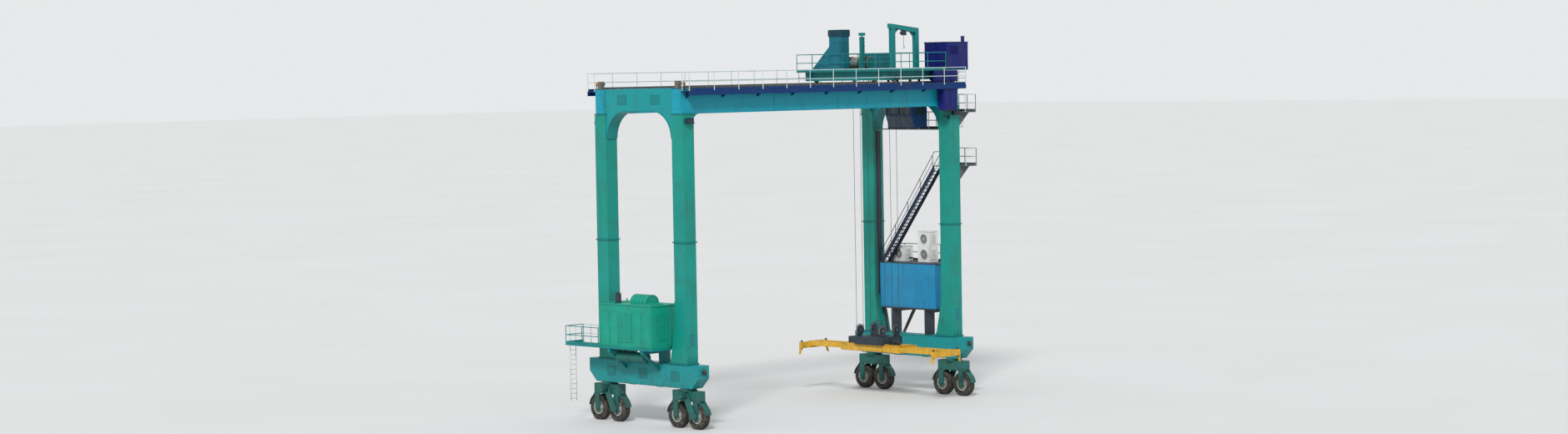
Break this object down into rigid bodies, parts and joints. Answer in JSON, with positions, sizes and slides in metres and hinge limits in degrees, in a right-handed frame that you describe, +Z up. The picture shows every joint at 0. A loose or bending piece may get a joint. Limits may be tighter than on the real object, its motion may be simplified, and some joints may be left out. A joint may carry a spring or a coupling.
{
  "type": "rubber tyred gantry crane",
  "caption": "Rubber tyred gantry crane for a container yard: portal on steering wheel bogies, trolley with cabin, and a telescopic yellow spreader on ropes.",
  "frame": {"origin": "on the ground, under the middle of the crane", "axes": "+X across the lane towards the electrical house side, +Y along the lane, +Z up"},
  "size_m": [27.29, 12.235, 24.2603],
  "materials": {
    "structure": "teal green paint",
    "house": "green paint",
    "electrical": "blue green paint",
    "dark_house": "dark blue paint",
    "machine": "dark green paint",
    "cabin": "blue paint",
    "head": "dark paint",
    "spreader": "yellow paint",
    "bogie": "green paint",
    "walkway": "galvanised steel",
    "white": "white enamel",
    "lamp": "grey paint",
    "rail": "worn steel",
    "rope": "greased wire rope",
    "tyre": "black rubber with green rim"
  },
  "bodies": {
    "crane_frame": {"leg_left_near": "structure", "leg_left_far": "structure", "leg_right_near": "structure", "leg_right_far": "structure", "portal_left": "structure", "portal_right": "structure", "sill_left": "structure", "sill_right": "structure", "girder_near": "structure", "girder_far": "structure", "trolley_rails": "rail", "walkway_near": "walkway", "walkway_far": "walkway", "power_house": "house", "power_platform": "walkway", "electrical_house": "electrical", "electrical_platform": "walkway", "air_conditioners": "white", "stair": "walkway", "landings": "walkway", "boarding_landing": "walkway", "ladders": "walkway", "floodlights": "lamp"},
    "trolley": {"trolley_frame": "structure", "trolley_wheels": "rail", "trolley_deck": "walkway", "hoist_drum": "machine", "machine_box": "machine", "service_gantry": "structure", "trolley_house": "dark_house", "cabin": "cabin", "cabin_hangers": "structure", "hoist_ropes": "rope"},
    "spreader": {"head_block": "head", "spreader_frame": "spreader"},
    "arm_near": {"spreader_arm_near": "spreader"},
    "arm_far": {"spreader_arm_far": "spreader"},
    "bogie_left_near": {"bogie_left_near": "bogie"},
    "bogie_left_far": {"bogie_left_far": "bogie"},
    "bogie_right_near": {"bogie_right_near": "bogie"},
    "bogie_right_far": {"bogie_right_far": "bogie"},
    "wheel_left_near_a": {"wheel_left_near_a": "tyre"},
    "wheel_left_near_b": {"wheel_left_near_b": "tyre"},
    "wheel_left_far_a": {"wheel_left_far_a": "tyre"},
    "wheel_left_far_b": {"wheel_left_far_b": "tyre"},
    "wheel_right_near_a": {"wheel_right_near_a": "tyre"},
    "wheel_right_near_b": {"wheel_right_near_b": "tyre"},
    "wheel_right_far_a": {"wheel_right_far_a": "tyre"},
    "wheel_right_far_b": {"wheel_right_far_b": "tyre"}
  },
  "joints": [
    {"name": "trolley_travel", "type": "slide", "parent": "crane_frame", "child": "trolley", "axis": [1, 0, 0], "range_m": [-16.8, 0]},
    {"name": "hoist", "type": "slide", "parent": "trolley", "child": "spreader", "axis": [0, 0, 1], "range_m": [-2.26, 12.34], "deforming": ["hoist_ropes"]},
    {"name": "arm_near_slide", "type": "slide", "parent": "spreader", "child": "arm_near", "axis": [0, 1, 0], "range_m": [0, 3.066]},
    {"name": "arm_far_slide", "type": "slide", "parent": "spreader", "child": "arm_far", "axis": [0, -1, 0], "range_m": [0, 3.066]},
    {"name": "steer_left_near", "type": "hinge", "parent": "crane_frame", "child": "bogie_left_near", "pos_m": [-11.735, -3.6, 2.4], "axis": [0, 0, 1], "range_deg": [0, 90]},
    {"name": "spin_left_near_a", "type": "hinge", "parent": "bogie_left_near", "child": "wheel_left_near_a", "pos_m": [-11.735, -4.475, 0.78], "axis": [1, 0, 0], "continuous": true},
    {"name": "spin_left_near_b", "type": "hinge", "parent": "bogie_left_near", "child": "wheel_left_near_b", "pos_m": [-11.735, -2.725, 0.78], "axis": [1, 0, 0], "continuous": true},
    {"name": "steer_left_far", "type": "hinge", "parent": "crane_frame", "child": "bogie_left_far", "pos_m": [-11.735, 3.6, 2.4], "axis": [0, 0, 1], "range_deg": [-90, 0]},
    {"name": "spin_left_far_a", "type": "hinge", "parent": "bogie_left_far", "child": "wheel_left_far_a", "pos_m": [-11.735, 2.725, 0.78], "axis": [1, 0, 0], "continuous": true},
    {"name": "spin_left_far_b", "type": "hinge", "parent": "bogie_left_far", "child": "wheel_left_far_b", "pos_m": [-11.735, 4.475, 0.78], "axis": [1, 0, 0], "continuous": true},
    {"name": "steer_right_near", "type": "hinge", "parent": "crane_frame", "child": "bogie_right_near", "pos_m": [11.735, -3.6, 2.4], "axis": [0, 0, 1], "range_deg": [-90, 0]},
    {"name": "spin_right_near_a", "type": "hinge", "parent": "bogie_right_near", "child": "wheel_right_near_a", "pos_m": [11.735, -4.475, 0.78], "axis": [1, 0, 0], "continuous": true},
    {"name": "spin_right_near_b", "type": "hinge", "parent": "bogie_right_near", "child": "wheel_right_near_b", "pos_m": [11.735, -2.725, 0.78], "axis": [1, 0, 0], "continuous": true},
    {"name": "steer_right_far", "type": "hinge", "parent": "crane_frame", "child": "bogie_right_far", "pos_m": [11.735, 3.6, 2.4], "axis": [0, 0, 1], "range_deg": [0, 90]},
    {"name": "spin_right_far_a", "type": "hinge", "parent": "bogie_right_far", "child": "wheel_right_far_a", "pos_m": [11.735, 2.725, 0.78], "axis": [1, 0, 0], "continuous": true},
    {"name": "spin_right_far_b", "type": "hinge", "parent": "bogie_right_far", "child": "wheel_right_far_b", "pos_m": [11.735, 4.475, 0.78], "axis": [1, 0, 0], "continuous": true}
  ],
  "couplings": [
    {"joint": "arm_far_slide", "follows": "arm_near_slide", "ratio": 1}
  ]
}
